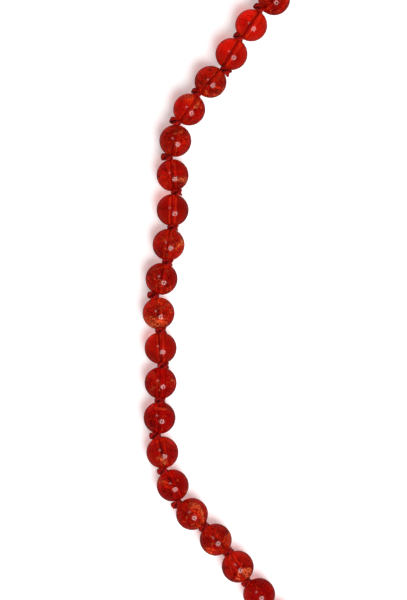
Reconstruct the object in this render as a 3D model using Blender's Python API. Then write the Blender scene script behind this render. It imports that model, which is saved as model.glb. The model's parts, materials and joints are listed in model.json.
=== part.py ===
"""A hand-knotted string of prayer beads: a closed loop of equal round stone beads with a knot
between each two, a larger guru bead drilled three ways, and a silk tassel hanging from it.

The loop lies flat with the beads resting on z = 0. +Z is up and +Y runs along the loop, away from
the tassel. The origin is below the middle of the whole object's box. Units are metres.
"""

import math

import bpy
import numpy as np
from mathutils import Matrix, Vector

MM = 0.001

# Cord
CORD_DIAMETER = 0.8 * MM
CORD_CLEARANCE = 0.2 * MM  # all round, in each bead's bore
CORD_SIDES_RESOLUTION = 2

# Beads
BEAD_COUNT = 54
BEAD_DIAMETER = 8.0 * MM
BEAD_BORE = CORD_DIAMETER + 2 * CORD_CLEARANCE
GURU_DIAMETER = 10.0 * MM
GURU_BORE = 1.6 * MM
MOUTH_BEVEL = 0.35 * MM  # the ground edge of each strand bore
BELT_HALF_ANGLE = math.radians(12)  # the flat-sided belt around each bead
SHOULDER_ANGLE = math.radians(46)
BEAD_SIDES = 12

# Knots
KNOT_GAP = 0.7 * MM  # between the ends of two neighbouring beads
KNOT_DIAMETER = 2.3 * MM
KNOT_CLEARANCE = 0.08 * MM  # to the mouths of its beads, where the string bends most
MOST_BEND = math.radians(25)
END_KNOT_DIAMETER = 2.0 * MM  # where two lengths of cord meet and the string can fold
END_KNOT_CROWN = 0.24 * MM
END_KNOT_TIP = 0.2 * MM
CORD_STEP_BACK = 0.45 * MM  # of the next length of cord, behind an end knot's middle

# Which knots bound the three lengths of cord, counted from the guru bead
LEFT_FIRST_KNOT = 4
LEFT_LAST_KNOT = 24
MEETING_KNOT = 41

# Tassel, as distances along it from its pivot inside the guru bead's third hole
TASSEL_SWING = math.radians(35)  # to each side
PIVOT_DEPTH = 1.0 * MM
NECK_RADIUS = 0.5 * MM
NECK_CLEARANCE = 0.25 * MM
TASSEL_KNOT_RADIUS = 1.3 * MM
TASSEL_KNOT_START = 2.2 * MM
TASSEL_KNOT_LENGTH = 1.4 * MM
HEAD_START = 5.2 * MM
HEAD_LENGTH = 4.0 * MM
HEAD_RADIUS = 3.1 * MM
BINDING_LENGTH = 5.4 * MM
BINDING_RADIUS = 3.6 * MM
BINDING_WALL = 0.7 * MM
BINDING_CLEARANCE = 0.3 * MM
SKIRT_LENGTH = 56.0 * MM
SKIRT_END_WIDTH = 13.5 * MM
SKIRT_END_THICKNESS = 4.6 * MM
TASSEL_SIDES = 16

# The route of the string seen from above, clockwise from the guru bead, in millimetres: left of
# the guru bead, up the long left side, over the top and down the right side.
ROUTE = [
    (48.5, -99.5), (38.5, -96.0), (30.0, -90.0), (22.5, -83.5),
    (16.5, -76.5), (11.0, -70.0), (6.0, -63.0), (0.0, -56.5), (-6.0, -50.0), (-9.5, -42.5),
    (-11.0, -34.0), (-11.0, -25.0), (-10.5, -16.5), (-11.0, -7.5), (-11.5, 1.0), (-9.5, 9.5),
    (-8.0, 18.0), (-7.5, 26.5), (-8.0, 35.5), (-6.0, 44.0), (-1.0, 51.0), (4.5, 57.5),
    (9.5, 65.0), (14.5, 72.0), (21.0, 78.0),
    (27.5, 84.5), (35.0, 90.5), (44.5, 94.0), (55.0, 95.5), (65.0, 93.0), (73.5, 87.0),
    (79.0, 79.0), (82.0, 68.0), (83.0, 54.0), (83.0, 36.0), (83.0, 16.0), (83.0, -4.0),
    (83.0, -24.0), (82.5, -44.0), (81.0, -60.5), (77.0, -75.5), (70.5, -88.0), (61.0, -96.5),
]
CURVE_SAMPLES = 60  # of the smooth curve, between two of its points
GURU_RISE = (1.0, 0.3)  # share of the guru bead's extra height at the two knots on each side of it


def smooth_closed_curve(points):
    """Catmull-Rom curve through the points, closed, as an array of close points."""
    p = np.array(points)
    before, after, beyond = np.roll(p, 1, 0), np.roll(p, -1, 0), np.roll(p, -2, 0)
    t = np.linspace(0, 1, CURVE_SAMPLES, endpoint=False)[None, :, None]
    a, b, c, d = (q[:, None, :] for q in (before, p, after, beyond))
    curve = 0.5 * (2 * b + (c - a) * t + (2 * a - 5 * b + 4 * c - d) * t**2
                   + (3 * b - a - 3 * c + d) * t**3)
    return curve.reshape(-1, 2)


def walk(curve, lengths):
    """Steps along a closed curve in straight chords of the given lengths.

    Returns the points and how far round the last one is, where 1 is where the walk began.
    """
    loop = np.vstack([curve, curve[: len(curve) // 2]])
    points, place = [loop[0]], 0.0
    for length in lengths:
        ahead = int(place) + 1
        distance = np.linalg.norm(loop[ahead:] - points[-1], axis=1)
        first = ahead + int(np.argmax(distance > length))
        start, end = loop[first - 1], loop[first]
        share = crossing(start - points[-1], end - start, length)
        points.append(start + share * (end - start))
        place = first - 1 + share
    return np.array(points), place / len(curve)


def crossing(offset, step, length):
    """The share of step at which offset + share * step is length long."""
    a, b, c = step @ step, 2 * offset @ step, offset @ offset - length**2
    return (-b + math.sqrt(b * b - 4 * a * c)) / (2 * a)


def closed_chain(curve, lengths):
    """Scales the curve until a walk along it with these lengths ends where it began."""
    low, high = 0.3, 3.0
    for _ in range(60):
        scale = (low + high) / 2
        points, turned = walk(curve * scale, lengths)
        if turned > 1:
            low = scale
        else:
            high = scale
    return points[:-1]


def knot_places():
    """Where each knot is. The guru bead sits between the last knot and the first."""
    lengths = [BEAD_DIAMETER + KNOT_GAP] * BEAD_COUNT + [GURU_DIAMETER + KNOT_GAP]
    curve = smooth_closed_curve(ROUTE) * MM
    start = half_guru_ahead(curve)
    flat = closed_chain(np.roll(curve, -start, 0), lengths)
    height = np.full(len(flat), BEAD_DIAMETER / 2)
    for k, share in enumerate(GURU_RISE):
        height[[k, -1 - k]] += share * (GURU_DIAMETER - BEAD_DIAMETER) / 2
    return [Vector(place) for place in np.column_stack([flat, height])]


def half_guru_ahead(curve):
    """The number of the curve's point half a guru bead past its start."""
    distance = np.linalg.norm(curve[: len(curve) // 4] - curve[0], axis=1)
    return int(np.argmax(distance > (GURU_DIAMETER + KNOT_GAP) / 2))


def material(name, color, roughness, metallic=0.0, transmission=0.0, sheen=0.0):
    made = bpy.data.materials.new(name)
    made.use_nodes = True
    shader = made.node_tree.nodes["Principled BSDF"]
    shader.inputs["Base Color"].default_value = (*color, 1)
    shader.inputs["Roughness"].default_value = roughness
    shader.inputs["Metallic"].default_value = metallic
    shader.inputs["Transmission Weight"].default_value = transmission
    shader.inputs["Sheen Weight"].default_value = sheen
    made.diffuse_color = (*color, 1)
    return made


def ring(radius, place, sides):
    """Points of a circle about X, turned so that a flat side faces straight down."""
    angle = 2 * np.pi * (np.arange(sides) + 0.5) / sides - np.pi / 2
    x = np.full(sides, place)
    return np.column_stack([x, radius * np.cos(angle), radius * np.sin(angle)])


def grid_mesh(name, rings, closed):
    """A mesh through rings of equal size. It joins up with itself, or has a cap at each end."""
    count, sides = len(rings), len(rings[0])
    faces = []
    for i in range(count if closed else count - 1):
        a, b = i * sides, (i + 1) % count * sides
        for j in range(sides):
            k = (j + 1) % sides
            faces.append((a + j, a + k, b + k, b + j))
    if not closed:
        faces.append(tuple(range(sides))[::-1])
        faces.append(tuple(range((count - 1) * sides, count * sides)))
    mesh = bpy.data.meshes.new(name)
    mesh.from_pydata(np.vstack(rings).tolist(), [], faces)
    mesh.shade_smooth()
    mesh.set_sharp_from_angle(angle=math.radians(35))
    return mesh


def bead_mesh(name, diameter, bore):
    """A drilled ball about X. Its belt has flat sides that touch the ball, one of them below."""
    radius, hole, mouth = diameter / 2, bore / 2, mouth_radius(bore)
    end = mouth_place(diameter, bore)
    half = [
        (radius / math.cos(math.pi / BEAD_SIDES), radius * math.tan(BELT_HALF_ANGLE)),
        (radius * math.cos(SHOULDER_ANGLE), radius * math.sin(SHOULDER_ANGLE)),
        (mouth, end),
        (hole, end - MOUTH_BEVEL),
    ]
    outline = [(r, -x) for r, x in half[::-1]] + half
    return grid_mesh(name, [ring(r, x, BEAD_SIDES) for r, x in outline], closed=True)


def add_object(name, data, mat, place=Matrix(), parent=None):
    data.materials.append(mat)
    made = bpy.data.objects.new(name, data)
    bpy.context.scene.collection.objects.link(made)
    made.parent = parent
    made.matrix_local = place
    return made


def along(start, end):
    """The frame halfway between two points, with X along the string and Z as near up as it can be."""
    x = (end - start).normalized()
    y = Vector((0, 0, 1)).cross(x).normalized()
    frame = Matrix((x, y, x.cross(y))).transposed().to_4x4()
    return Matrix.Translation((start + end) / 2) @ frame


def add_beads(knots, mat, loop):
    mesh = bead_mesh("bead", BEAD_DIAMETER, BEAD_BORE)
    mesh.materials.append(mat)
    for i in range(BEAD_COUNT):
        bead = bpy.data.objects.new(f"bead_{i + 1:02d}", mesh)
        bpy.context.scene.collection.objects.link(bead)
        bead.parent = loop
        bead.matrix_local = along(knots[i], knots[i + 1])


def mouth_radius(bore):
    return bore / 2 + MOUTH_BEVEL


def mouth_place(diameter, bore):
    """How far from a bead's middle the plane of its mouth is."""
    return math.sqrt((diameter / 2) ** 2 - mouth_radius(bore) ** 2)


def knot_room():
    """From a knot's middle to the mouth of the bead beside it."""
    return (BEAD_DIAMETER + KNOT_GAP) / 2 - mouth_place(BEAD_DIAMETER, BEAD_BORE)


def knot_points(knots, k):
    """A knot as four (place, radius) points of its cord. Its crown faces between its two beads."""
    knot = knots[k]
    into = (knot - knots[k - 1]).normalized()
    out = (knots[(k + 1) % len(knots)] - knot).normalized()
    cord, crown, room = CORD_DIAMETER / 2, KNOT_DIAMETER / 2, knot_room()
    half_crown = room - KNOT_CLEARANCE - crown * math.sin(MOST_BEND / 2)
    across = (into + out).normalized() * half_crown
    return [(knot - into * room, cord), (knot - across, crown),
            (knot + across, crown), (knot + out * room, cord)]


def end_knot_points(knot, bead_side):
    """A small knot that ends a cord, set back to its own bead so that the next one can tilt."""
    back = (bead_side - knot).normalized()
    cord, crown, room = CORD_DIAMETER / 2, END_KNOT_DIAMETER / 2, knot_room()
    near = room - KNOT_CLEARANCE
    return [(knot + back * (room + KNOT_CLEARANCE), cord), (knot + back * near, crown),
            (knot + back * (near - END_KNOT_CROWN), crown), (knot - back * END_KNOT_TIP, cord)]


def plain_start(knot, bead_side):
    """Where a cord begins just inside its first bead, clear of its neighbour's end knot."""
    return [(knot + (bead_side - knot).normalized() * CORD_STEP_BACK, CORD_DIAMETER / 2)]


def cord_points(knots, first, last, knot_at_first, knot_at_last):
    """One length of cord from knot first to knot last, counting past the guru bead."""
    at = [knots[k % len(knots)] for k in range(first, last + 1)]
    starts = end_knot_points(at[0], at[1])[::-1] if knot_at_first else plain_start(at[0], at[1])
    ends = end_knot_points(at[-1], at[-2]) if knot_at_last else plain_start(at[-1], at[-2])
    middle = [point for k in range(first + 1, last) for point in knot_points(knots, k % len(knots))]
    return starts + middle + ends


def add_cord(name, points, mat, loop):
    curve = bpy.data.curves.new(name, "CURVE")
    curve.dimensions = "3D"
    curve.bevel_depth = 1.0  # each point's own radius is the cord's
    curve.bevel_resolution = CORD_SIDES_RESOLUTION
    curve.use_fill_caps = True
    spline = curve.splines.new("POLY")
    spline.points.add(len(points) - 1)
    for target, (place, radius) in zip(spline.points, points):
        target.co = (*place, 1)
        target.radius = radius
    return add_object(name, curve, mat, parent=loop)


def tassel_bore_cutter(frame, loop):
    """The guru bead's third hole: a bore from its middle out to the tassel's pivot, and from there a
    cone in which the tassel's neck can swing."""
    radius, past = GURU_DIAMETER / 2, 0.5 * MM
    bore = NECK_RADIUS + NECK_CLEARANCE
    slope = math.tan(TASSEL_SWING)
    cone = PIVOT_DEPTH + NECK_CLEARANCE
    mouth = cone * slope + NECK_RADIUS / math.cos(TASSEL_SWING) + NECK_CLEARANCE / 2
    rings = [ring(bore, 0, BEAD_SIDES), ring(bore, radius - cone, BEAD_SIDES),
             ring(mouth + slope * past, radius + past, BEAD_SIDES)]
    cutter = bpy.data.objects.new("tassel_bore_cutter", grid_mesh("tassel_bore", rings, closed=False))
    bpy.context.scene.collection.objects.link(cutter)
    cutter.parent = loop
    cutter.matrix_local = frame @ Matrix.Rotation(math.pi / 2, 4, "Z")
    cutter.hide_render = True
    cutter.display_type = "WIRE"
    return cutter


def add_guru(knots, mat, loop):
    frame = along(knots[-1], knots[0])
    mesh = bead_mesh("guru_bead", GURU_DIAMETER, GURU_BORE)
    guru = add_object("guru_bead", mesh, mat, frame, loop)
    cut = guru.modifiers.new("third hole", "BOOLEAN")
    cut.object = tassel_bore_cutter(frame, loop)
    cut.operation = "DIFFERENCE"
    cut.solver = "EXACT"
    return frame


def flat_ring(place, half_width, half_height, height):
    """A ring about X whose lowest side is half_height below height, for the tassel's sections."""
    corner = 1 / math.cos(math.pi / TASSEL_SIDES)
    points = ring(corner, place, TASSEL_SIDES)
    return points * (1, half_width, half_height) + (0, 0, height)


def tassel_sections():
    """The tassel's outline from its pivot on: distance, half width, half height, axis height.

    It leaves the guru bead at half its height and comes down to lie on z = 0.
    """
    top, head = GURU_DIAMETER / 2, BINDING_RADIUS
    knot_end = TASSEL_KNOT_START + TASSEL_KNOT_LENGTH
    waist = BINDING_RADIUS - BINDING_WALL - BINDING_CLEARANCE
    binding = HEAD_START + HEAD_LENGTH
    skirt = binding + BINDING_LENGTH + 2 * BINDING_CLEARANCE
    width, thick = SKIRT_END_WIDTH / 2, SKIRT_END_THICKNESS / 2
    bevel = 0.5 * MM
    rows = [
        (0, NECK_RADIUS, NECK_RADIUS, top),
        (TASSEL_KNOT_START - bevel, NECK_RADIUS, NECK_RADIUS, top),
        (TASSEL_KNOT_START, TASSEL_KNOT_RADIUS, TASSEL_KNOT_RADIUS, top),
        (knot_end, TASSEL_KNOT_RADIUS, TASSEL_KNOT_RADIUS, (top + head) / 2),
        (knot_end + bevel, NECK_RADIUS, NECK_RADIUS, (top + head) / 2),
        (HEAD_START, 0.55 * HEAD_RADIUS, 0.55 * HEAD_RADIUS, head),
        (HEAD_START + 0.35 * HEAD_LENGTH, 0.92 * HEAD_RADIUS, 0.92 * HEAD_RADIUS, head),
        (HEAD_START + 0.7 * HEAD_LENGTH, HEAD_RADIUS, HEAD_RADIUS, head),
        (binding, waist, waist, head),
        (skirt, waist, waist, head),
    ]
    for share in (0.06, 0.25, 0.6, 0.92, 1.0):
        spread = 1 - (1 - share) ** 2
        half_width = HEAD_RADIUS + (width - HEAD_RADIUS) * spread
        half_height = HEAD_RADIUS + (thick - HEAD_RADIUS) * spread
        rows.append((skirt + share * SKIRT_LENGTH, half_width, half_height, half_height))
    return rows


def add_tassel(guru_frame, silk, thread, loop):
    """The tassel's threads and the binding round their neck, on an empty at the pivot."""
    reach = GURU_DIAMETER / 2 - PIVOT_DEPTH
    place = guru_frame @ Matrix.Rotation(math.pi / 2, 4, "Z") @ Matrix.Translation((reach, 0, 0))
    place.translation.z = 0
    pivot = bpy.data.objects.new("tassel_pivot", None)
    bpy.context.scene.collection.objects.link(pivot)
    pivot.parent = loop
    pivot.matrix_local = place
    rings = [flat_ring(*row) for row in tassel_sections()]
    add_object("tassel_threads", grid_mesh("tassel_threads", rings, closed=False), silk, parent=pivot)

    start = HEAD_START + HEAD_LENGTH + BINDING_CLEARANCE
    end = start + BINDING_LENGTH
    outer, inner = BINDING_RADIUS, BINDING_RADIUS - BINDING_WALL
    round_off = 0.3 * MM
    outline = [(start, inner), (end, inner), (end, outer - round_off), (end - round_off, outer),
               (start + round_off, outer), (start, outer - round_off)]
    rings = [flat_ring(x, r, r, BINDING_RADIUS) for x, r in outline]
    mesh = grid_mesh("tassel_binding", rings, closed=True)
    mesh.flip_normals()
    add_object("tassel_binding", mesh, thread, parent=pivot)


def put_middle_at_origin(loop):
    """Moves the whole object so that the middle of its box is over the origin."""
    bpy.context.view_layer.update()
    graph = bpy.context.evaluated_depsgraph_get()
    corners = []
    for obj in bpy.context.scene.objects:
        if obj.type == "EMPTY" or obj.hide_render:
            continue
        evaluated = obj.evaluated_get(graph)
        mesh = evaluated.to_mesh()
        corners += [evaluated.matrix_world @ v.co for v in mesh.vertices]
        evaluated.to_mesh_clear()
    low, high = np.min(corners, axis=0), np.max(corners, axis=0)
    loop.location = (-(low[0] + high[0]) / 2, -(low[1] + high[1]) / 2, 0)


def main():
    for obj in list(bpy.data.objects):
        bpy.data.objects.remove(obj, do_unlink=True)
    quartz = material("red_crackle_quartz", (0.55, 0.012, 0.006), 0.06, transmission=0.85)
    cord = material("maroon_cord", (0.10, 0.008, 0.010), 0.75, sheen=0.3)
    silk = material("tassel_silk", (0.30, 0.010, 0.012), 0.45, sheen=0.5)
    thread = material("binding_thread", (0.16, 0.008, 0.010), 0.5, sheen=0.4)

    loop = bpy.data.objects.new("loop", None)
    bpy.context.scene.collection.objects.link(loop)
    knots = knot_places()
    around = len(knots)
    add_beads(knots, quartz, loop)
    guru_frame = add_guru(knots, quartz, loop)
    add_cord("cord_left", cord_points(knots, LEFT_FIRST_KNOT, LEFT_LAST_KNOT, True, True), cord, loop)
    add_cord("cord_top", cord_points(knots, LEFT_LAST_KNOT, MEETING_KNOT, False, False), cord, loop)
    bottom_end = around + LEFT_FIRST_KNOT
    add_cord("cord_bottom", cord_points(knots, MEETING_KNOT, bottom_end, True, False), cord, loop)
    add_tassel(guru_frame, silk, thread, loop)
    put_middle_at_origin(loop)


main()
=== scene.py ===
import json
import math

import bpy
import numpy as np
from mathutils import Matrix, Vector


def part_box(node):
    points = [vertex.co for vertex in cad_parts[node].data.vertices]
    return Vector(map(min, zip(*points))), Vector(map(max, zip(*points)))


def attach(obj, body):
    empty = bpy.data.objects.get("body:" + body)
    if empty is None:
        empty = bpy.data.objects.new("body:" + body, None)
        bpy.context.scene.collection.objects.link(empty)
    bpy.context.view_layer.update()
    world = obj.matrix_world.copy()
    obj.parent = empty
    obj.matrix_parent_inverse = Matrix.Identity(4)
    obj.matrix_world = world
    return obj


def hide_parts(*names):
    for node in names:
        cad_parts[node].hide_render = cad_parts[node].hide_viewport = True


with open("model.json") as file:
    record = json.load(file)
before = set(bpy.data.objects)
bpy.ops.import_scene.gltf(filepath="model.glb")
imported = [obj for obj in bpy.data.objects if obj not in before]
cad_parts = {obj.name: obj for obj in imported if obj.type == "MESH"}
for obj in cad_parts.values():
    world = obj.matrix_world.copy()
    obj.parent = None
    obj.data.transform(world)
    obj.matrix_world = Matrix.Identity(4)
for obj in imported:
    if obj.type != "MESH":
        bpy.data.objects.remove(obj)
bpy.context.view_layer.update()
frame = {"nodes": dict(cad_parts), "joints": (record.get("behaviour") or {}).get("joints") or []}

mm = 0.001
up = np.array((0.0, 0.0, 1.0))

joints = {joint["name"]: joint for joint in frame["joints"]}
beadNames = sorted(name for name in frame["nodes"] if name.startswith("bead_"))
beadCount = len(beadNames)
beadCentres = np.array([joints[name + "_spin"]["pos_m"] for name in beadNames])
beadAxes = np.array([joints[name + "_spin"]["axis"] for name in beadNames])
beadAxes /= np.linalg.norm(beadAxes, axis=1, keepdims=True)
guruLow, guruHigh = (np.array(corner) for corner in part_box("guru_bead"))
guruRadius = (guruHigh[2] - guruLow[2]) / 2
tasselPivot = np.array(joints["tassel_swing"]["pos_m"])


def unit(vectors):  # each vector divided by its own length
    return vectors / np.linalg.norm(vectors, axis=-1, keepdims=True)


def frameAlong(direction):  # rows: along, level and sideways, and as near straight up as can be
    along = unit(np.asarray(direction, float))
    side = unit(np.cross(up, along))
    return np.array((along, side, np.cross(along, side)))


def gridFaces(rows, columns, grids=1, closedRows=False, capped=False):
    # quads between neighbouring rings of each grid; with closedRows its last ring is joined to its
    # first, and with capped both get a flat cap
    i = np.arange(rows if closedRows else rows - 1)[:, None]
    j = np.arange(columns)[None, :]
    nextI, nextJ = (i + 1) % rows, (j + 1) % columns
    quads = np.stack([i * columns + j, i * columns + nextJ, nextI * columns + nextJ,
                      nextI * columns + j], axis=-1).reshape(-1, 4)
    start = np.arange(grids)[:, None] * rows * columns
    faces = (quads[None] + start[..., None]).reshape(-1, 4).tolist()
    if capped:
        ring = np.arange(columns)
        faces += (ring[::-1] + start).tolist()
        faces += (ring + (rows - 1) * columns + start).tolist()
    return faces


def tube(path, reference, radius, sides, lobes=0, lobeDepth=0.0, twist=0.0):
    # a ring of points round every point of the path, in the plane across it; radius may change
    # along it, and lobes turning by twist radians a step stand for the strands of a laid cord
    tangent = unit(np.gradient(path, axis=-2))
    side = unit(np.cross(reference, tangent))
    over = np.cross(tangent, side)
    angle = 2 * np.pi * np.arange(sides) / sides
    step = np.arange(path.shape[-2])[:, None]
    swell = 1 - lobeDepth * (1 - np.abs(np.cos(lobes / 2 * (angle - twist * step))))
    r = (np.asarray(radius)[..., None] * swell)[..., None]
    return (path[..., None, :] + r * (np.cos(angle)[:, None] * side[..., None, :]
                                      + np.sin(angle)[:, None] * over[..., None, :]))


def addPiece(name, points, faces, materials, body, faceSlots=None):
    mesh = bpy.data.meshes.new(name)
    mesh.from_pydata(np.asarray(points).reshape(-1, 3), [], faces)
    for material in materials:
        mesh.materials.append(material)
    if faceSlots is not None:
        mesh.polygons.foreach_set("material_index", faceSlots)
    mesh.shade_smooth()
    piece = bpy.data.objects.new(name, mesh)
    bpy.context.scene.collection.objects.link(piece)
    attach(piece, body)
    return piece


def newMaterial(name):
    material = bpy.data.materials.new(name)
    material.use_nodes = True
    nodes, links = material.node_tree.nodes, material.node_tree.links
    return material, nodes, links, nodes["Principled BSDF"], nodes["Material Output"]


def addNode(nodes, kind, **values):
    node = nodes.new(kind)
    for name, value in values.items():
        if hasattr(node, name):
            setattr(node, name, value)
        else:
            node.inputs[name.replace("_", " ")].default_value = value
    return node


def addRamp(nodes, places, colours):
    ramp = nodes.new("ShaderNodeValToRGB")
    for stop, place, colour in zip(ramp.color_ramp.elements, places, colours):
        stop.position, stop.color = place, colour
    return ramp


quartz = {
    "ior": 1.54,
    "roughness": (0.05, 0.13),   # polished, and where fingers have dulled it
    "smears": 420.0,   # per metre, as the scale of every pattern here
    "smearRange": (0.45, 0.75),
    "dyeClouds": 210.0,   # each bead takes one or two of them
    "dyeRange": (0.38, 0.56),
    "paleDye": (1.0, 0.56, 0.38, 1),
    "fullDye": (0.50, 0.20, 0.14, 1),
    "waves": 900.0,
    "waveHeight": 0.05 * mm,
    "waveStrength": 0.03,
    "volumeTint": (0.92, 0.42, 0.16, 1),
    "density": {"light": 830, "middle": 960, "deep": 1250},   # per metre
    "lampTint": {   # what a face lets through of the lamps' light, met from either side
        "outside": (0.30, 0.12, 0.16, 1),
        "inside": (1.0, 0.86, 0.80, 1),
    },
}


def linkWithShadows(nodes, links, shader, output, front):
    # rays to the lamps go straight through a face, tinted by the side from which they meet it
    path = addNode(nodes, "ShaderNodeLightPath")
    side = addNode(nodes, "ShaderNodeNewGeometry")
    tint = addNode(nodes, "ShaderNodeMixRGB")
    tint.inputs["Color1"].default_value = quartz["lampTint"][front]
    tint.inputs["Color2"].default_value = quartz["lampTint"]["inside"]
    links.new(side.outputs["Backfacing"], tint.inputs["Fac"])
    passed = addNode(nodes, "ShaderNodeBsdfTransparent")
    links.new(tint.outputs["Color"], passed.inputs["Color"])
    mix = addNode(nodes, "ShaderNodeMixShader")
    links.new(path.outputs["Is Shadow Ray"], mix.inputs["Fac"])
    links.new(shader.outputs["BSDF"], mix.inputs[1])
    links.new(passed.outputs["BSDF"], mix.inputs[2])
    links.new(mix.outputs["Shader"], output.inputs["Surface"])


def makeQuartz(depth):
    material, nodes, links, shader, output = newMaterial("quartz_" + depth)
    shader.inputs["Transmission Weight"].default_value = 1.0
    shader.inputs["IOR"].default_value = quartz["ior"]
    place = addNode(nodes, "ShaderNodeTexCoord")
    smears = addNode(nodes, "ShaderNodeTexNoise", Scale=quartz["smears"], Detail=3.0)
    dull = addNode(nodes, "ShaderNodeMapRange",
                   From_Min=quartz["smearRange"][0], From_Max=quartz["smearRange"][1],
                   To_Min=quartz["roughness"][0], To_Max=quartz["roughness"][1])
    links.new(place.outputs["Object"], smears.inputs["Vector"])
    links.new(smears.outputs["Fac"], dull.inputs["Value"])
    links.new(dull.outputs["Result"], shader.inputs["Roughness"])
    clouds = addNode(nodes, "ShaderNodeTexNoise", Scale=quartz["dyeClouds"], Detail=1.0)
    dye = addRamp(nodes, quartz["dyeRange"], (quartz["fullDye"], quartz["paleDye"]))
    links.new(place.outputs["Object"], clouds.inputs["Vector"])
    links.new(clouds.outputs["Fac"], dye.inputs["Fac"])
    links.new(dye.outputs["Color"], shader.inputs["Base Color"])
    waves = addNode(nodes, "ShaderNodeTexNoise", Scale=quartz["waves"], Detail=2.0)
    bump = addNode(nodes, "ShaderNodeBump", Strength=quartz["waveStrength"],
                   Distance=quartz["waveHeight"])
    links.new(place.outputs["Object"], waves.inputs["Vector"])
    links.new(waves.outputs["Fac"], bump.inputs["Height"])
    links.new(bump.outputs["Normal"], shader.inputs["Normal"])
    absorb = addNode(nodes, "ShaderNodeVolumeAbsorption", Color=quartz["volumeTint"],
                     Density=quartz["density"][depth])
    links.new(absorb.outputs["Volume"], output.inputs["Volume"])
    linkWithShadows(nodes, links, shader, output, "outside")
    return material


drilledWall = {"colour": (0.9, 0.30, 0.24, 1), "roughness": 0.38}


def makeBoreWall():
    # ground by the drill, so it scatters what passes; the coloured body of the stone belongs to the
    # polished face alone
    material, nodes, links, shader, output = newMaterial("drilled_wall")
    shader.inputs["Base Color"].default_value = drilledWall["colour"]
    shader.inputs["Transmission Weight"].default_value = 1.0
    shader.inputs["IOR"].default_value = quartz["ior"]
    shader.inputs["Roughness"].default_value = drilledWall["roughness"]
    linkWithShadows(nodes, links, shader, output, "inside")
    return material


crackFilm = {
    "innerIor": 0.65,   # of air as seen from inside the stone
    "cover": (0.55, 0.90),   # how much of what is behind it the film hides, head on and aslant
    "patches": 2600.0,
    "patchRange": (0.47, 0.56),
    "rippleHeight": 0.1 * mm,
    "rippleStrength": 0.5,
    "roughness": 0.28,
    "mirror": 0.35,   # share of glint, and the rest is haze
    "through": 0.3,   # share of the haze that is lit from behind
    "glint": (1.0, 0.50, 0.26, 1),
    "haze": (1.0, 0.52, 0.27, 1),
}


def makeCrackFilm():
    # a film of air in the stone: see-through head on and more of a mirror aslant, patchy, with haze
    # that takes light from both sides
    material, nodes, links, shader, output = newMaterial("crack_film")
    nodes.remove(shader)
    place = addNode(nodes, "ShaderNodeTexCoord")
    ripple = addNode(nodes, "ShaderNodeTexNoise", Scale=crackFilm["patches"], Detail=2.0)
    bump = addNode(nodes, "ShaderNodeBump", Strength=crackFilm["rippleStrength"],
                   Distance=crackFilm["rippleHeight"])
    links.new(place.outputs["Object"], ripple.inputs["Vector"])
    links.new(ripple.outputs["Fac"], bump.inputs["Height"])
    shaders = {
        "clear": addNode(nodes, "ShaderNodeBsdfTransparent"),
        "glint": addNode(nodes, "ShaderNodeBsdfGlossy", Color=crackFilm["glint"],
                         Roughness=crackFilm["roughness"]),
        "near": addNode(nodes, "ShaderNodeBsdfDiffuse", Color=crackFilm["haze"]),
        "far": addNode(nodes, "ShaderNodeBsdfTranslucent", Color=crackFilm["haze"]),
    }
    for name in ("glint", "near", "far"):
        links.new(bump.outputs["Normal"], shaders[name].inputs["Normal"])
    haze = addNode(nodes, "ShaderNodeMixShader", Fac=crackFilm["through"])
    links.new(shaders["near"].outputs["BSDF"], haze.inputs[1])
    links.new(shaders["far"].outputs["BSDF"], haze.inputs[2])
    shiny = addNode(nodes, "ShaderNodeMixShader", Fac=crackFilm["mirror"])
    links.new(haze.outputs["Shader"], shiny.inputs[1])
    links.new(shaders["glint"].outputs["BSDF"], shiny.inputs[2])
    slant = addNode(nodes, "ShaderNodeFresnel", IOR=crackFilm["innerIor"])
    least, most = crackFilm["cover"]
    cover = addNode(nodes, "ShaderNodeMapRange", To_Min=least, To_Max=most)
    links.new(slant.outputs["Fac"], cover.inputs["Value"])
    low, high = crackFilm["patchRange"]
    patch = addNode(nodes, "ShaderNodeMapRange", From_Min=low, From_Max=high)
    links.new(ripple.outputs["Fac"], patch.inputs["Value"])
    share = addNode(nodes, "ShaderNodeMath", operation="MULTIPLY")
    links.new(cover.outputs["Result"], share.inputs[0])
    links.new(patch.outputs["Result"], share.inputs[1])
    film = addNode(nodes, "ShaderNodeMixShader")
    links.new(share.outputs["Value"], film.inputs["Fac"])
    links.new(shaders["clear"].outputs["BSDF"], film.inputs[1])
    links.new(shiny.outputs["Shader"], film.inputs[2])
    links.new(film.outputs["Shader"], output.inputs["Surface"])
    return material


yarn = {
    "dyePatches": 700.0,
    "dyeRange": (0.12, 0.42),
    "specular": 0.15,
    "sheenRoughness": 0.4,
    "sheenTint": (1.0, 0.45, 0.45, 1),
    "fibreHeight": 0.08 * mm,
    "fibreStrength": 0.6,
}
yarns = {
    "cord_yarn": {"dark": (0.11, 0.001, 0.001, 1), "light": (0.46, 0.007, 0.005, 1),
                  "sheen": 0.03, "fibres": 9000.0, "roughness": 0.75},
    # the cord in the bores is the same cord as the knots, painted paler and without sheen: painted
    # light that stands in for the light the stone keeps from it
    "bored_cord_yarn_painted_light": {"dark": (0.16, 0.004, 0.004, 1), "light": (0.55, 0.014, 0.012, 1),
                        "sheen": 0.0, "fibres": 9000.0, "roughness": 0.75},
    "silk_yarn": {"dark": (0.16, 0.003, 0.005, 1), "light": (0.50, 0.010, 0.012, 1),
                  "sheen": 0.2, "fibres": 5000.0, "roughness": 0.45},
    "binding_yarn": {"dark": (0.07, 0.002, 0.003, 1), "light": (0.30, 0.007, 0.009, 1),
                     "sheen": 0.1, "fibres": 6000.0, "roughness": 0.75},
}


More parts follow.
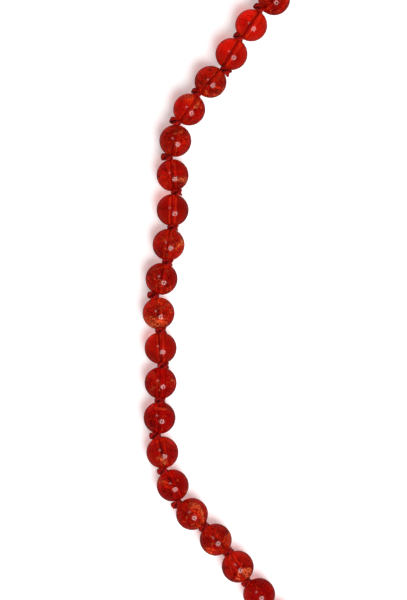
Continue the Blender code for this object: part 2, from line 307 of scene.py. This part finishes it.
def makeYarn(name, dark, light, sheen, fibres, roughness):
    # dyed thread: uneven dye over millimetres, single fibres over hundredths of one
    material, nodes, links, shader, output = newMaterial(name)
    place = addNode(nodes, "ShaderNodeTexCoord")
    dye = addNode(nodes, "ShaderNodeTexNoise", Scale=yarn["dyePatches"], Detail=3.0)
    fuzz = addNode(nodes, "ShaderNodeTexNoise", Scale=fibres, Detail=4.0, Roughness=0.7)
    links.new(place.outputs["Object"], dye.inputs["Vector"])
    links.new(place.outputs["Object"], fuzz.inputs["Vector"])
    both = addNode(nodes, "ShaderNodeMath", operation="MULTIPLY")
    links.new(dye.outputs["Fac"], both.inputs[0])
    links.new(fuzz.outputs["Fac"], both.inputs[1])
    ramp = addRamp(nodes, yarn["dyeRange"], (dark, light))
    links.new(both.outputs["Value"], ramp.inputs["Fac"])
    links.new(ramp.outputs["Color"], shader.inputs["Base Color"])
    shader.inputs["Roughness"].default_value = roughness
    shader.inputs["Specular IOR Level"].default_value = yarn["specular"]
    shader.inputs["Sheen Weight"].default_value = sheen
    shader.inputs["Sheen Roughness"].default_value = yarn["sheenRoughness"]
    shader.inputs["Sheen Tint"].default_value = yarn["sheenTint"]
    bump = addNode(nodes, "ShaderNodeBump", Strength=yarn["fibreStrength"],
                   Distance=yarn["fibreHeight"])
    links.new(fuzz.outputs["Fac"], bump.inputs["Height"])
    links.new(bump.outputs["Normal"], shader.inputs["Normal"])
    return material


quartzTones = {depth: makeQuartz(depth) for depth in quartz["density"]}
boreWall = makeBoreWall()
crackMaterial = makeCrackFilm()
cordYarn, boredYarnPaintedLight, silkYarn, bindingYarn = [makeYarn(name, **yarns[name]) for name in yarns]
print("materials made")


view = {
    "overBead": "bead_14",
    "aside": (11.2 * mm, 3.3 * mm),   # from that bead to the middle of the view
    "height": 0.6,   # of the camera, straight above, in metres
    "fieldHeight": 149.6 * mm,   # what the view's long side takes in at the beads' height
}
# angles in degrees as the beads see them: tilt from straight up, heading from the x axis, and the
# half widths of the ring and of the hole in it
lamps = {
    "key_lamp": {"tilt": 33.0, "heading": -58.0, "distance": 0.9, "outer": 17.0, "inner": 5.0,
                 "radiance": 4.8, "mirrored": True},
    # the rest of the light from that side, screened so that polished stones don't mirror it
    "soft_lamp": {"tilt": 33.0, "heading": -58.0, "distance": 1.0, "outer": 22.0, "inner": 0.0,
                  "radiance": 6.6, "mirrored": False},
    "fill_lamp": {"tilt": 25.0, "heading": 140.0, "distance": 1.0, "outer": 9.0, "inner": 0.0,
                  "radiance": 2.2, "mirrored": True},
}
lampSides = 48
room = {
    "radiance": 0.04,
    "floor": 0.9,   # how much light it gives back
    "floorGlow": 0.34,
    "floorMirrored": 0.06,   # how bright it is where polished stones mirror it
    "floorSize": 3.0,
}


def placeCamera():
    target = beadCentres[beadNames.index(view["overBead"])] + (*view["aside"], 0)
    data = bpy.data.cameras.new("camera")
    data.sensor_width = 36
    data.lens = data.sensor_width * (view["height"] - target[2]) / view["fieldHeight"]
    data.clip_start, data.clip_end = 0.01, 10
    camera = bpy.data.objects.new("camera", data)
    camera.location = (*target[:2], view["height"])
    bpy.context.scene.collection.objects.link(camera)
    bpy.context.scene.camera = camera
    return target


def addLamp(name, lamp, target):
    # a flat ring of light facing the beads, as wide as its two angles seen from them
    heading, tilt = math.radians(lamp["heading"]), math.radians(lamp["tilt"])
    away = np.array((math.cos(heading) * math.sin(tilt), math.sin(heading) * math.sin(tilt),
                     math.cos(tilt)))
    middle = target + away * lamp["distance"]
    across = frameAlong(away)
    angle = np.linspace(0, 2 * np.pi, lampSides, endpoint=False)[None, :, None]
    radii = lamp["distance"] * np.tan(np.radians(np.array((lamp["inner"], lamp["outer"]))))
    rings = middle + radii[:, None, None] * (np.cos(angle) * across[1] + np.sin(angle) * across[2])
    mesh = bpy.data.meshes.new(name)
    faces = [face[::-1] for face in gridFaces(2, lampSides)]
    mesh.from_pydata(rings.reshape(-1, 3), [], faces)
    material, nodes, links, shader, output = newMaterial(name)
    nodes.remove(shader)
    glow = addNode(nodes, "ShaderNodeEmission", Strength=lamp["radiance"])
    links.new(glow.outputs["Emission"], output.inputs["Surface"])
    mesh.materials.append(material)
    made = bpy.data.objects.new(name, mesh)
    bpy.context.scene.collection.objects.link(made)
    made.visible_camera = False
    made.visible_shadow = False   # the lamps don't stand in each other's way
    made.visible_glossy = lamp["mirrored"]


def makeFloorWhite():
    # white and a little luminous, and dimmer where the polished stones mirror it, like a lit table
    # whose far parts are screened off
    material, nodes, links, shader, output = newMaterial("white_floor")
    nodes.remove(shader)
    path = addNode(nodes, "ShaderNodeLightPath")
    mirrored = addNode(nodes, "ShaderNodeMath", operation="SUBTRACT")
    links.new(path.outputs["Is Reflection Ray"], mirrored.inputs[0])
    links.new(path.outputs["Is Diffuse Ray"], mirrored.inputs[1])
    share = addNode(nodes, "ShaderNodeMapRange", To_Min=1.0, To_Max=room["floorMirrored"])
    links.new(mirrored.outputs["Value"], share.inputs["Value"])
    both = addNode(nodes, "ShaderNodeAddShader")
    for socket, kind, result, strength in (
        (0, "ShaderNodeBsdfDiffuse", "BSDF", room["floor"]),
        (1, "ShaderNodeEmission", "Emission", room["floorGlow"]),
    ):
        dim = addNode(nodes, "ShaderNodeMath", operation="MULTIPLY")
        dim.inputs[1].default_value = strength
        links.new(share.outputs["Result"], dim.inputs[0])
        made = addNode(nodes, kind)
        links.new(dim.outputs["Value"], made.inputs["Color"])
        links.new(made.outputs[result], both.inputs[socket])
    links.new(both.outputs["Shader"], output.inputs["Surface"])
    return material


def makeStage(target):
    world = bpy.data.worlds.new("room")
    world.use_nodes = True
    world.node_tree.nodes["Background"].inputs["Color"].default_value = (1, 1, 1, 1)
    world.node_tree.nodes["Background"].inputs["Strength"].default_value = room["radiance"]
    bpy.context.scene.world = world
    half = room["floorSize"] / 2
    corners = [(x * half, y * half, 0) for x, y in ((-1, -1), (1, -1), (1, 1), (-1, 1))]
    mesh = bpy.data.meshes.new("floor")
    mesh.from_pydata(corners, [], [(0, 1, 2, 3)])
    mesh.materials.append(makeFloorWhite())
    floor = bpy.data.objects.new("floor", mesh)
    bpy.context.scene.collection.objects.link(floor)
    for name, lamp in lamps.items():
        addLamp(name, lamp, target)
    scene = bpy.context.scene
    scene.view_settings.view_transform = "Standard"
    scene.cycles.use_denoising = True
    scene.cycles.max_bounces = 24
    scene.cycles.transmission_bounces = 24
    scene.cycles.transparent_max_bounces = 48
    scene.cycles.glossy_bounces = 8
    scene.cycles.blur_glossy = 0.3


makeStage(placeCamera())
print("stage made")


beadShape = {
    # as high as its centre, as it rests on the floor
    "radius": float(beadCentres[beadNames.index(view["overBead"])][2]),
    "bore": 0.6 * mm,
    "edge": 0.22 * mm,   # round of the bore's mouth
    "sides": 56,
}
profileSteps = {"ball": 34, "mouth": 7, "bore": 9}
lightBeads = (13, 14, 16, 17, 19, 21, 22, 23)
deepBeads = (5, 9, 11, 12)


def drilledProfile(radius, bore, edge):
    # the ball from mouth to mouth, then a round of radius edge that touches ball and bore, the
    # bore, and the other round; the second result marks the bore's rows
    back, mouth = radius - edge, bore + edge
    end = math.sqrt(back**2 - mouth**2)
    first = math.atan2(mouth, end)
    ball = np.linspace(np.pi - first, first, profileSteps["ball"])
    turn = np.linspace(first, -np.pi / 2, profileSteps["mouth"])[1:]
    straight = np.linspace(end, -end, profileSteps["bore"])[1:-1]
    right = np.column_stack([end + edge * np.cos(turn), mouth + edge * np.sin(turn)])
    left = right[::-1] * (-1, 1)
    outer = radius * np.column_stack([np.cos(ball), np.sin(ball)])
    inner = np.column_stack([straight, np.full(len(straight), bore)])
    rows = np.vstack([outer, right, inner, left])
    place = np.arange(len(rows))
    return rows, (place >= len(outer) + len(right) - 2) & (place < len(rows) - len(left) + 1)


def turned(profile, sides):  # each (place, radius) of the profile carried round the first axis
    angle = 2 * np.pi * np.arange(sides) / sides
    x = np.broadcast_to(profile[:, :1], (len(profile), sides))
    return np.stack([x, profile[:, 1:] * np.cos(angle), profile[:, 1:] * np.sin(angle)], axis=-1)


def toneOf(number):
    return "light" if number in lightBeads else "deep" if number in deepBeads else "middle"


def makeBeads():
    profile, isBore = drilledProfile(beadShape["radius"], beadShape["bore"], beadShape["edge"])
    local = turned(profile, beadShape["sides"])
    faces = gridFaces(*local.shape[:2], closedRows=True)
    faceSlots = np.repeat(isBore, beadShape["sides"]).astype(np.int32)
    for name, centre, axis in zip(beadNames, beadCentres, beadAxes):
        tone = quartzTones[toneOf(int(name[-2:]))]
        bead = addPiece(name + "_stone", local @ frameAlong(axis) + centre, faces,
                        (tone, boreWall), name, faceSlots)
        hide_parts(name)


makeBeads()
print("beads made")


cracks = {
    "seed": 7,
    "clearance": 0.2 * mm,   # to the bore and to the bead's surface
    "length": 0.9,   # share of the bead's length that they keep to
    "thickness": 0.03 * mm,
    "ragged": 0.3,
    "spread": (0.30, 0.55, 0.75),   # along the bore, out from it and round it
    "wave": 0.22,
    "sheets": {"clear": 0, "some": 3, "many": 5},
    "sheetForm": {"reach": 1.0, "rings": 4, "sides": 14},
    "flakes": {"clear": 8, "some": 70, "many": 190},
    "flakeForm": {"reach": 0.16, "rings": 1, "sides": 6},
}
clearBeads = (13, 17, 22, 23)
crackledBeads = (7, 8, 14, 15, 16, 19, 21, *range(27, beadCount + 1, 3))


def lensFaces(rings, sides):
    # a fan at each middle, quads between the rings, from the upper middle over the rim to the lower
    last = 1 + (2 * rings - 1) * sides
    fans, quads = [], []
    for j in range(sides):
        k = (j + 1) % sides
        fans += [(0, 1 + j, 1 + k), (last, last - sides + k, last - sides + j)]
        for i in range(2 * rings - 2):
            a, b = 1 + i * sides, 1 + (i + 1) * sides
            quads.append((a + j, b + j, b + k, a + k))
    return fans, quads, last + 1


def inStone(radius, bore, share):
    # share along the bore -1..1, share from bore to surface 0..1, and angle round the bore
    gap = cracks["clearance"]
    x = share[..., 0] * (radius - gap) * cracks["length"]
    inner, outer = bore + gap, np.sqrt((radius - gap) ** 2 - x**2)
    rho = inner + np.clip(share[..., 1], 0, 1) * np.maximum(outer - inner, 0)
    return np.stack([x, rho * np.cos(share[..., 2]), rho * np.sin(share[..., 2])], axis=-1)


def lenses(random, count, reach, rings, sides, radius, bore):
    # discs laid in the shares that inStone takes, where a flat disc becomes a curved sheet; each
    # gets a thickness that falls as 1 - r**2 to nothing at its rim
    r = np.concatenate([[0], np.repeat(np.r_[1:rings + 1, rings - 1:0:-1] / rings, sides), [0]])
    a = np.concatenate([[0], np.tile(2 * np.pi * np.arange(sides) / sides, 2 * rings - 1), [0]])
    face = np.sign(np.r_[1, np.repeat(rings - np.arange(1, 2 * rings), sides), -1])
    uneven = cracks["ragged"] * random.uniform(-1, 1, (count, 1))
    ragged = 1 + uneven * np.sin(3 * a + random.uniform(0, 6, (count, 1)))
    s, t = r * np.cos(a) * ragged, r * np.sin(a) * ragged
    middle = np.stack([random.uniform(-0.85, 0.85, count), random.uniform(0.05, 0.95, count),
                       random.uniform(0, 2 * np.pi, count)], axis=-1)[:, None, :]
    spread = reach * np.array(cracks["spread"])
    stepS = random.normal(0, 1, (count, 1, 3)) * spread
    stepT = random.normal(0, 1, (count, 1, 3)) * spread
    phase = random.uniform(0, 6, (count, 1, 3))

    def at(s, t):
        wave = cracks["wave"] * reach * np.sin(2.6 * s[..., None] + 1.9 * t[..., None] + phase)
        share = middle + s[..., None] * stepS + t[..., None] * stepT + wave
        share[..., 0] = np.clip(share[..., 0], -0.95, 0.95)
        share[..., 1] = np.clip(share[..., 1], 0, 1)
        return inStone(radius, bore, share)

    small = 0.02   # a step each way, which gives the direction across the sheet
    points = at(s, t)
    normal = np.cross(at(s + small, t) - points, at(s, t + small) - points)
    normal /= np.maximum(np.linalg.norm(normal, axis=-1, keepdims=True), 1e-12)
    lift = cracks["thickness"] * (1 - r**2) * face
    return points + lift[:, None] * normal


def makeCracks(name, centre, axis, radius, bore, kind, random):
    # all the sheets and flakes in one stone
    points, faces, start = [], [], 0
    for count, form in ((cracks["sheets"][kind], cracks["sheetForm"]),
                        (cracks["flakes"][kind], cracks["flakeForm"])):
        part = lenses(random, count, radius=radius, bore=bore, **form)
        fans, quads, size = lensFaces(form["rings"], form["sides"])
        offset = start + size * np.arange(count)[:, None, None]
        faces += (np.array(fans) + offset).reshape(-1, 3).tolist()
        if quads:
            faces += (np.array(quads) + offset).reshape(-1, 4).tolist()
        points.append(part.reshape(-1, 3))
        start += size * count
    addPiece(name + "_cracks", np.vstack(points) @ frameAlong(axis) + centre, faces,
             (crackMaterial,), name)


def crackKind(number):
    if number in clearBeads:
        return "clear"
    return "many" if number in crackledBeads else "some"


beadRandom = np.random.default_rng(cracks["seed"])
for name, centre, axis in zip(beadNames, beadCentres, beadAxes):
    makeCracks(name, centre, axis, beadShape["radius"], beadShape["bore"],
               crackKind(int(name[-2:])), beadRandom)
print("cracks made")


cord = {
    "radius": 0.4 * mm, "strands": 3, "strandDepth": 0.28, "layLength": 3.2 * mm,
    "stepsPerBead": 30, "sides": 15,
}
# two neighbours' stretches of cord meet at the knot between them, so their axes give the pitch
pair = slice(13, 15)
halfPitch = float(np.linalg.norm(np.diff(beadCentres[pair], axis=0))
                  / np.linalg.norm(beadAxes[pair].sum(axis=0)))
# a knot before each bead and one after the last, and the guru bead between the last and the first
knotPlaces = np.vstack([beadCentres - beadAxes * halfPitch,
                        beadCentres[-1:] + beadAxes[-1:] * halfPitch])
guruAxis = knotPlaces[0] - knotPlaces[-1]
guruAxis /= np.linalg.norm(guruAxis)
guruCentre = (knotPlaces[0] + knotPlaces[-1]) / 2
tasselWay = (tasselPivot - guruCentre) * (1, 1, 0)
tasselWay /= np.linalg.norm(tasselWay)
# the knots at which the limp string folds, and the one where its two folding parts meet
firstFold, secondFold, openKnot = 4, 24, 41
cordStretches = {
    "left": (firstFold, secondFold),
    "top": (secondFold, openKnot),
    "bottom": (openKnot, beadCount + 1 + firstFold),
}


def knotAt(number):  # past the last knot the count goes on with the first, behind the guru bead
    return knotPlaces[number % (beadCount + 1)]


def makeCord(body, first, last):
    # straight from knot to knot through the bores, with its strands laid round each other
    corners = np.array([knotAt(number) for number in range(first, last + 1)])
    steps = cord["stepsPerBead"]
    share = np.arange(steps)[None, :, None] / steps
    path = (corners[:-1, None] * (1 - share) + corners[1:, None] * share).reshape(-1, 3)
    path = np.vstack([path, corners[-1:]])
    twist = 2 * np.pi * 2 * halfPitch / steps / cord["layLength"]
    points = tube(path, up, cord["radius"], cord["sides"], cord["strands"], cord["strandDepth"],
                  twist)
    faces = gridFaces(len(path), cord["sides"], capped=True)
    # the paler yarn here is painted light, making up for the light the stone keeps from the cord
    piece = addPiece("cord_" + body + "_yarn", points, faces, (boredYarnPaintedLight,), body)
    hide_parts("cord_" + body)


for body, (first, last) in cordStretches.items():
    makeCord(body, first, last)
print("cord made")


knot = {
    "ring": 0.78 * mm, "dip": 0.24 * mm, "swing": 0.95 * mm, "yarn": 0.58 * mm,
    "rise": 1.0 * mm,   # up from the cord, times a share drawn from the next two
    "riseShares": (0.2, 1.2),
    "dipShares": (0.7, 1.3),
    "core": 0.2,   # share of the ring by which the middle that the yarn winds round moves
    "steps": 84, "sides": 10, "fibres": 5, "fibreDepth": 0.2, "fibreTwist": 0.3, "seed": 3,
    "gapToBead": 0.02 * mm,
    "foldAngles": (-20, -10, 0, 10, 20),   # degrees
    "presses": 12,
}
# how far each knot leans to the right of the string's line in tenths of a millimetre, from the
# first knot after the lower fold on; the others draw theirs
knotLeans = (-4, 3, 1, -10, -6, -10, 2, 5, 4, -10, 6, 4, 8, -12, -10, -8, 12, -7, -8)
mostLean = 10


def leanOf(number, random):
    drawn = random.uniform(-mostLean, mostLean)
    place = number - firstFold - 1
    return (knotLeans[place] if 0 <= place < len(knotLeans) else drawn) * 0.1 * mm


def knotPoints(random, size=1.0):
    # a cord that goes twice round the string while it dips in and swings along it three times
    t = np.linspace(0, 2 * np.pi, knot["steps"], endpoint=False) + random.uniform(0, 6)
    ring, swing = knot["ring"] * size, knot["swing"] * size
    reach = ring + knot["dip"] * size * np.cos(3 * t) * random.uniform(*knot["dipShares"])
    path = np.stack([swing * np.sin(3 * t), reach * np.cos(2 * t), reach * np.sin(2 * t)], axis=-1)
    inner = knot["core"] * ring
    core = np.stack([0 * t, inner * np.cos(2 * t), inner * np.sin(2 * t)], axis=-1)
    closed = np.vstack([path[-1:], path, path[:1]])
    outwards = closed - np.vstack([core[-1:], core, core[:1]])
    return tube(closed, outwards, knot["yarn"] * size, knot["sides"],
                knot["fibres"], knot["fibreDepth"], knot["fibreTwist"])[1:-1]


def squeeze(points, shift, toMiddle, radius):
    # moved off the string's line, and pressed along it as room * tanh(x / room), where the room
    # that the two balls leave grows away from the line as their surfaces fall back
    moved = points + shift
    distance = np.linalg.norm(moved[..., 1:], axis=-1)
    room = toMiddle - np.sqrt(np.maximum(radius**2 - distance**2, 0)) - knot["gapToBead"]
    moved[..., 0] = room * np.tanh(moved[..., 0] / room)
    return moved


def carried(point, joint, degrees):
    # turned about a joint's axis: the part along it stays, the rest goes round by the angle
    away, axis = point - np.array(joint["pos_m"]), unit(np.array(joint["axis"]))
    angle = math.radians(degrees)
    level = axis * (away @ axis)
    return (point - away + level + math.cos(angle) * (away - level)
            + math.sin(angle) * np.cross(axis, away))


def ballsAt(number):
    # every place that the beads beside a folding knot can take, as the knot sees them
    top, bottom = joints["top_fold"], joints["bottom_fold"]
    angles = knot["foldAngles"]
    if number not in (firstFold, secondFold, openKnot):
        return []
    before, after = beadCentres[number - 1], beadCentres[number]
    if number == firstFold:
        return [after] + [carried(before, bottom, a) for a in angles]
    if number == secondFold:
        return [before] + [carried(after, top, a) for a in angles]
    return [before] + [carried(carried(after, bottom, a), top, b) for a in angles for b in angles]


def pressedOut(points, balls):
    # moved straight out of each ball in turn, over and over, until all of them leave it alone
    reach = beadShape["radius"] + knot["gapToBead"]
    for ball in balls * knot["presses"]:
        away = points - ball
        distance = np.linalg.norm(away, axis=-1, keepdims=True)
        points = points + away / distance * np.maximum(reach - distance, 0)
    return points


def makeKnots(body, numbers, random):
    grids = []
    for number in numbers:
        nextToGuru = number in (0, beadCount)
        into = guruAxis if number == 0 else beadAxes[number - 1]
        out = guruAxis if number == beadCount else beadAxes[number]
        side = frameAlong(into + out)
        lean = leanOf(number, random) * (np.sign(side[1][0]) or 1.0)
        radius = guruRadius if nextToGuru else beadShape["radius"]
        toMiddle = radius + halfPitch - beadShape["radius"]
        shift = np.array((0, lean, knot["rise"] * random.uniform(*knot["riseShares"])))
        lump = squeeze(knotPoints(random), shift, toMiddle, radius) @ side + knotAt(number)
        grids.append(pressedOut(lump, ballsAt(number)))
    points = np.array(grids)
    faces = gridFaces(points.shape[1], points.shape[2], grids=len(grids), closedRows=True)
    addPiece("knots_" + body, points, faces, (cordYarn,), body)


knotRandom = np.random.default_rng(knot["seed"])
makeKnots("left", range(firstFold, secondFold + 1), knotRandom)
makeKnots("top", range(secondFold + 1, openKnot + 1), knotRandom)
makeKnots("bottom", [*range(openKnot + 1, beadCount + 1), *range(firstFold)], knotRandom)
print("knots made")


guru = {
    "bore": 0.8 * mm,
    "edge": 0.22 * mm,
    "sides": 64,
    # shares of the bead's radius out from its middle, and the third hole's radius there in mm
    "thirdHole": ((0, 0.9), (0.62, 0.9), (0.82, 1.035), (1.1, 2.1875)),
    "thirdSides": 32,
    "sharpFrom": 35,   # degrees between faces that stay a crisp edge
}


def makeGuru():
    # a larger drilled ball, with a hole from its middle out to the tassel that widens to its mouth
    profile, isBore = drilledProfile(guruRadius, guru["bore"], guru["edge"])
    local = turned(profile, guru["sides"])
    faces = gridFaces(*local.shape[:2], closedRows=True)
    faceSlots = np.repeat(isBore, guru["sides"]).astype(np.int32)
    stone = addPiece("guru_stone", local @ frameAlong(guruAxis) + guruCentre, faces,
                     (quartzTones["middle"], boreWall), "guru", faceSlots)
    hole = np.array(guru["thirdHole"]) * (guruRadius, mm)
    rings = turned(hole, guru["thirdSides"]) @ frameAlong(tasselWay) + guruCentre
    mesh = bpy.data.meshes.new("third_hole")
    mesh.from_pydata(rings.reshape(-1, 3), [],
                     gridFaces(len(hole), guru["thirdSides"], capped=True))
    mesh.materials.append(quartzTones["middle"])
    cutter = bpy.data.objects.new("third_hole", mesh)
    bpy.context.scene.collection.objects.link(cutter)
    cut = stone.modifiers.new("third hole", "BOOLEAN")
    cut.object, cut.operation, cut.solver = cutter, "DIFFERENCE", "EXACT"
    cut.material_mode = "TRANSFER"
    bpy.context.view_layer.update()
    graph = bpy.context.evaluated_depsgraph_get()
    cutMesh = bpy.data.meshes.new_from_object(stone.evaluated_get(graph), depsgraph=graph)
    stone.modifiers.clear()
    stone.data = cutMesh
    bpy.data.objects.remove(cutter)
    cutMesh.shade_smooth()
    cutMesh.set_sharp_from_angle(angle=math.radians(guru["sharpFrom"]))
    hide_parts("guru_bead")
    makeCracks("guru", guruCentre, guruAxis, guruRadius, guru["bore"], "some", beadRandom)


makeGuru()
print("guru bead made")


# places along the tassel are distances from the middle of the joint on which it swings
tassel = {
    "headStart": 5.2 * mm, "headLength": 4.0 * mm, "headRadius": 3.1 * mm,
    "headTop": 0.55 * mm, "headTuck": 0.4 * mm, "headOverlap": 1.2 * mm,
    "waist": 2.6 * mm, "waistEnd": 15.2 * mm, "end": 71.0 * mm,
    "endWidth": 13.5 * mm, "endThickness": 4.6 * mm,
    "swellBy": 0.06,   # share of the free length in which it is as thick as the head again
    "strands": 460, "strandRadius": 0.14 * mm, "strandSteps": 16, "raggedEnd": 2.2 * mm,
    "waver": (0.1, 0.8),   # millimetres to either side, the least and the most
    "settle": 8 * mm,   # from the binding to where the strands have sunk to their own height
    "loops": 72, "loopRadius": 0.15 * mm, "loopSteps": 14, "loopSides": 5, "coreSides": 40,
    "seed": 11,
}
binding = {
    "start": 9.5 * mm, "length": 5.4 * mm,
    "radius": 3.6 * mm,   # and the height of its middle, as it rests on the floor
    "thread": 0.27 * mm,   # its radius
    "stepsPerTurn": 36, "sides": 8, "fibres": 4, "fibreDepth": 0.16, "fibreTwist": 0.5,
}
neck = {
    "radius": 0.5 * mm, "steps": 40, "sides": 16, "strands": 4, "strandDepth": 0.3, "twist": 0.25,
    "overlap": 0.6 * mm, "knotAt": 2.95 * mm, "knotSize": 0.92,
}


def inTassel(along, sideways, height):  # from distances along and across it to places
    level = np.array((-tasselWay[1], tasselWay[0], 0))
    start = np.array((*tasselPivot[:2], 0))
    return (start + along[..., None] * tasselWay + sideways[..., None] * level
            + height[..., None] * up)


def tasselSpread(along):
    # half width and half height: the waist under the binding, then a quick widening and a slow one
    share = np.clip((along - tassel["waistEnd"]) / (tassel["end"] - tassel["waistEnd"]), 0, 1)
    spread = 1 - (1 - share) ** 2
    swell = np.clip(share / tassel["swellBy"], 0, 1)
    base = tassel["waist"] + (tassel["headRadius"] - tassel["waist"]) * swell
    return (base + (tassel["endWidth"] / 2 - tassel["headRadius"]) * spread,
            base + (tassel["endThickness"] / 2 - tassel["headRadius"]) * spread)


def makeStrands(random):
    # each strand keeps its share of the way out from the middle and its bearing, and wavers slowly
    count, steps = tassel["strands"], tassel["strandSteps"]
    out = np.sqrt(random.uniform(0.0, 1.0, (count, 1)))
    bearing = random.uniform(0, 2 * np.pi, (count, 1)) + 0.25 * np.sin(np.linspace(0, 3, steps))
    ends = tassel["end"] - tassel["raggedEnd"] * random.uniform(0, 1, (count, 1)) ** 2
    start = binding["start"] + 0.5 * binding["length"]
    share = np.linspace(0, 1, steps)
    along = start + (ends - start) * share
    wide, high = tasselSpread(along)
    fine = tassel["strandRadius"]
    waver = random.uniform(*tassel["waver"], (count, 1)) * mm * np.clip(share * 1.6 - 0.25, 0, 1)
    phase, pace = random.uniform(0, 6, (count, 2)), random.uniform(3, 9, (count, 1))
    sideways = (wide - fine) * out * np.cos(bearing) + waver * np.sin(pace * share + phase[:, :1])
    lift = (high - fine) * out * np.sin(bearing)
    lift = lift + 0.4 * waver * np.sin(0.8 * pace * share + phase[:, 1:])
    sunk = np.clip((along - binding["start"] - binding["length"]) / tassel["settle"], 0, 1)
    middle = binding["radius"] + (high - binding["radius"]) * sunk
    sideways = np.clip(sideways, -tassel["endWidth"] / 2 + fine, tassel["endWidth"] / 2 - fine)
    path = inTassel(along, sideways, np.maximum(middle + lift, fine))
    points = tube(path, up, fine, 4)
    faces = gridFaces(steps, 4, grids=count, capped=True)
    piece = addPiece("tassel_strands", points, faces, (silkYarn,), "tassel")
    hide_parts("tassel_threads")


def headOutline(share):
    # distance along and radius of the head: a rounded top that swells and draws in to the waist
    length = tassel["headLength"] + tassel["headTuck"] + tassel["headOverlap"]
    along = tassel["headStart"] - tassel["headTuck"] + share * length
    dome = np.sin(np.pi * np.clip(share, 0, 1) ** 0.72 * 0.62)
    fall = np.clip((share - 0.72) / 0.28, 0, 1)
    top, skin = tassel["headTop"], 0.2 * mm   # the loops lie on it, within the head's radius
    radius = top + (tassel["headRadius"] - top - skin) * dome
    return along, radius * (1 - fall) + (tassel["waist"] - skin) * fall


def makeHead(random):
    # the strands folded over the top, side by side round the head
    count, steps, sides = tassel["loops"], tassel["loopSteps"], tassel["loopSides"]
    share = np.linspace(0, 1, steps)
    along, radius = headOutline(share)
    places = np.arange(count)[:, None] + random.uniform(-0.2, 0.2, (count, 1))
    bearing = 2 * np.pi * places / count
    bearing = bearing + 0.05 * np.sin(4 * share + random.uniform(0, 6, (count, 1)))
    height = binding["radius"]
    path = inTassel(np.broadcast_to(along, (count, steps)), radius * np.cos(bearing),
                    height + radius * np.sin(bearing))
    centreLine = inTassel(along, 0 * along, height + 0 * along)
    points = tube(path, path - centreLine, tassel["loopRadius"], sides)
    addPiece("tassel_head_strands", points, gridFaces(steps, sides, grids=count, capped=True),
             (silkYarn,), "tassel")
    # what shows between the loops, just under their middles
    outline = np.column_stack([along, radius - 0.02 * mm])
    core = turned(outline, tassel["coreSides"]) @ frameAlong(tasselWay)
    addPiece("tassel_head_core", core + (*tasselPivot[:2], height),
             gridFaces(steps, tassel["coreSides"], capped=True), (silkYarn,),
             "tassel")


def makeBinding():
    # one thread wound side by side round the waist, with its two ends tucked in
    turns = binding["length"] / (2 * binding["thread"]) - 1
    steps = int(turns * binding["stepsPerTurn"])
    share = np.linspace(0, 1, steps)
    tuck = np.clip(np.minimum(share, 1 - share) * turns * 6, 0, 1)
    radius = tassel["waist"] + (binding["radius"] - binding["thread"] - tassel["waist"]) * tuck
    bearing = 2 * np.pi * turns * share
    wound = binding["length"] - 2 * binding["thread"]
    along = binding["start"] + binding["thread"] + share * wound
    path = inTassel(along, radius * np.cos(bearing), binding["radius"] + radius * np.sin(bearing))
    centreLine = inTassel(along, 0 * along, binding["radius"] + 0 * along)
    points = tube(path, path - centreLine, binding["thread"], binding["sides"],
                  binding["fibres"], binding["fibreDepth"], binding["fibreTwist"])
    faces = gridFaces(steps, binding["sides"], capped=True)
    piece = addPiece("tassel_binding_thread", points, faces, (bindingYarn,), "tassel")
    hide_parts("tassel_binding")


def makeNeck(random):
    # the cord's two ends, laid together, from inside the guru bead through a knot into the head
    steps, sides = neck["steps"], neck["sides"]
    share = np.linspace(0, 1, steps)
    along = share * (tassel["headStart"] + neck["overlap"])
    height = guruCentre[2] + (binding["radius"] - guruCentre[2]) * np.clip(share * 1.3 - 0.3, 0, 1)
    path = inTassel(along, 0 * along, height)
    points = tube(path, up, neck["radius"], sides, neck["strands"], neck["strandDepth"],
                  neck["twist"])
    addPiece("tassel_neck", points, gridFaces(steps, sides, capped=True), (cordYarn,),
             "tassel")
    place = inTassel(np.array(neck["knotAt"]), np.array(0.0),
                     np.interp(neck["knotAt"], along, height))
    lump = knotPoints(random, neck["knotSize"])
    addPiece("tassel_neck_knot", lump @ frameAlong(tasselWay) + place,
             gridFaces(*lump.shape[:2], closedRows=True), (cordYarn,), "tassel")


tasselRandom = np.random.default_rng(tassel["seed"])
makeStrands(tasselRandom)
makeHead(tasselRandom)
makeBinding()
makeNeck(tasselRandom)
print("tassel made")
